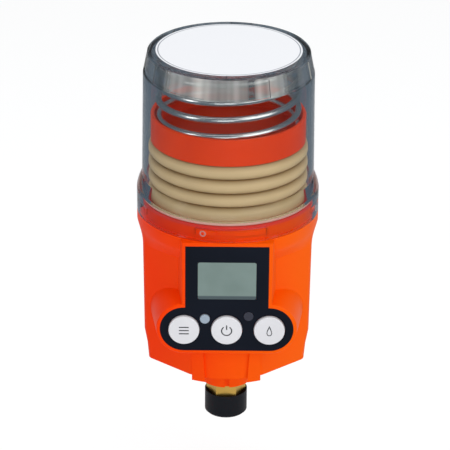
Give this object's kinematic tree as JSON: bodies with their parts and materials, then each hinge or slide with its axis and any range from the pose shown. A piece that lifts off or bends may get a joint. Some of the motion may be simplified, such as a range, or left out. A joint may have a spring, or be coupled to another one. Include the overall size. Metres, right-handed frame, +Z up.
{
  "type": "automatic lubricator",
  "caption": "Battery-powered automatic grease lubricator: clear spring-loaded bellows reservoir on an orange housing with display and keys, brass outlet and push-on cap.",
  "frame": {"origin": "centre of the outlet thread's shoulder, the underside of the hexagon", "axes": "+Z up along the outlet's and cover's common axis, -Y towards the keypad, +X to its right"},
  "size_m": [0.098, 0.0992, 0.2155],
  "materials": {
    "housing_plastic": "semi-gloss moulded",
    "overlay_film": "smooth printed film",
    "clear_cover": "clear moulded plastic",
    "display_glass": "display pane",
    "lamp_lens": "tinted lens",
    "key_white": "smooth",
    "key_grey": "smooth",
    "label_white": "printed label",
    "seal_rubber": "smooth",
    "bellows_film": "satin",
    "presser_plastic": "semi-gloss moulded",
    "spring_steel": "drawn wire",
    "bright_steel": "polished",
    "motor_steel": "zinc plated",
    "pump_metal": "cast",
    "outlet_brass": "turned",
    "cap_plastic": "moulded",
    "frame_plastic": "moulded",
    "gear_plastic": "moulded",
    "board_laminate": "solder mask",
    "cell_wrap": "plain wrap"
  },
  "bodies": {
    "housing_body": {"housing": "housing_plastic", "face_overlay": "overlay_film", "indicator_lamp": "lamp_lens", "display_window": "display_glass", "display_module": "display_glass", "control_board": "board_laminate", "key_switches": "cap_plastic", "board_screws": "spring_steel", "cover_seal": "seal_rubber", "bellows_base": "frame_plastic", "bellows": "bellows_film", "deck_plate": "frame_plastic", "deck_screws": "spring_steel", "pump_block": "pump_metal", "outlet_adapter": "outlet_brass", "check_spring": "spring_steel", "gearbox_base": "frame_plastic", "gearbox_plate": "frame_plastic", "gearbox_screws": "spring_steel", "motor_can": "motor_steel", "battery_cells": "cell_wrap", "battery_holder": "frame_plastic"},
    "cover_body": {"cover": "clear_cover", "top_label": "label_white"},
    "presser_body": {"presser_cup": "presser_plastic", "compression_spring": "spring_steel"},
    "left_button_body": {"left_button": "key_white"},
    "centre_button_body": {"centre_button": "key_white"},
    "right_button_body": {"right_button": "key_white"},
    "reset_button_body": {"reset_button": "key_grey"},
    "cap_body": {"protective_cap": "cap_plastic"},
    "motor_body": {"motor_shaft": "bright_steel", "motor_pinion": "gear_plastic"},
    "reduction_body": {"reduction_gear": "gear_plastic"},
    "cam_body": {"camshaft": "bright_steel", "cam_gear": "gear_plastic"},
    "plunger_body": {"plunger": "bright_steel", "return_spring": "spring_steel"},
    "ball_body": {"check_ball": "bright_steel"}
  },
  "joints": [
    {"name": "cover_turn", "type": "hinge", "parent": "housing_body", "child": "cover_body", "pos_m": [0, 0, 0.12], "axis": [0, 0, 1], "range_deg": [-27, 0]},
    {"name": "presser_feed", "type": "slide", "parent": "housing_body", "child": "presser_body", "axis": [0, 0, -1], "range_m": [0, 0.024], "deforming": ["compression_spring", "bellows"]},
    {"name": "left_button_press", "type": "slide", "parent": "housing_body", "child": "left_button_body", "axis": [0, 1, 0], "range_m": [0, 0.0005], "stiffness_N_per_m": 600},
    {"name": "centre_button_press", "type": "slide", "parent": "housing_body", "child": "centre_button_body", "axis": [0, 1, 0], "range_m": [0, 0.0005], "stiffness_N_per_m": 600},
    {"name": "right_button_press", "type": "slide", "parent": "housing_body", "child": "right_button_body", "axis": [0, 1, 0], "range_m": [0, 0.0005], "stiffness_N_per_m": 600},
    {"name": "reset_button_press", "type": "slide", "parent": "housing_body", "child": "reset_button_body", "axis": [0, 1, 0], "range_m": [0, 0.0005], "stiffness_N_per_m": 600},
    {"name": "cap_pull", "type": "slide", "parent": "housing_body", "child": "cap_body", "axis": [0, 0, -1], "range_m": [0, 0.04]},
    {"name": "cam_spin", "type": "hinge", "parent": "housing_body", "child": "cam_body", "pos_m": [0, 0.02, 0.067], "axis": [0, 0, 1], "continuous": true},
    {"name": "reduction_spin", "type": "hinge", "parent": "housing_body", "child": "reduction_body", "pos_m": [-0.01726, 0.01158, 0.07], "axis": [0, 0, 1], "continuous": true},
    {"name": "motor_spin", "type": "hinge", "parent": "housing_body", "child": "motor_body", "pos_m": [-0.02077, -0.00648, 0.072], "axis": [0, 0, 1], "continuous": true},
    {"name": "plunger_stroke", "type": "slide", "parent": "housing_body", "child": "plunger_body", "axis": [0, -1, 0], "range_m": [-0.0024, 0]},
    {"name": "ball_lift", "type": "slide", "parent": "housing_body", "child": "ball_body", "axis": [0, 0, -1], "range_m": [0, 0.0008], "stiffness_N_per_m": 150, "deforming": ["check_spring"]}
  ],
  "couplings": [
    {"joint": "reduction_spin", "follows": "cam_spin", "ratio": -3},
    {"joint": "motor_spin", "follows": "cam_spin", "ratio": 8.5}
  ]
}
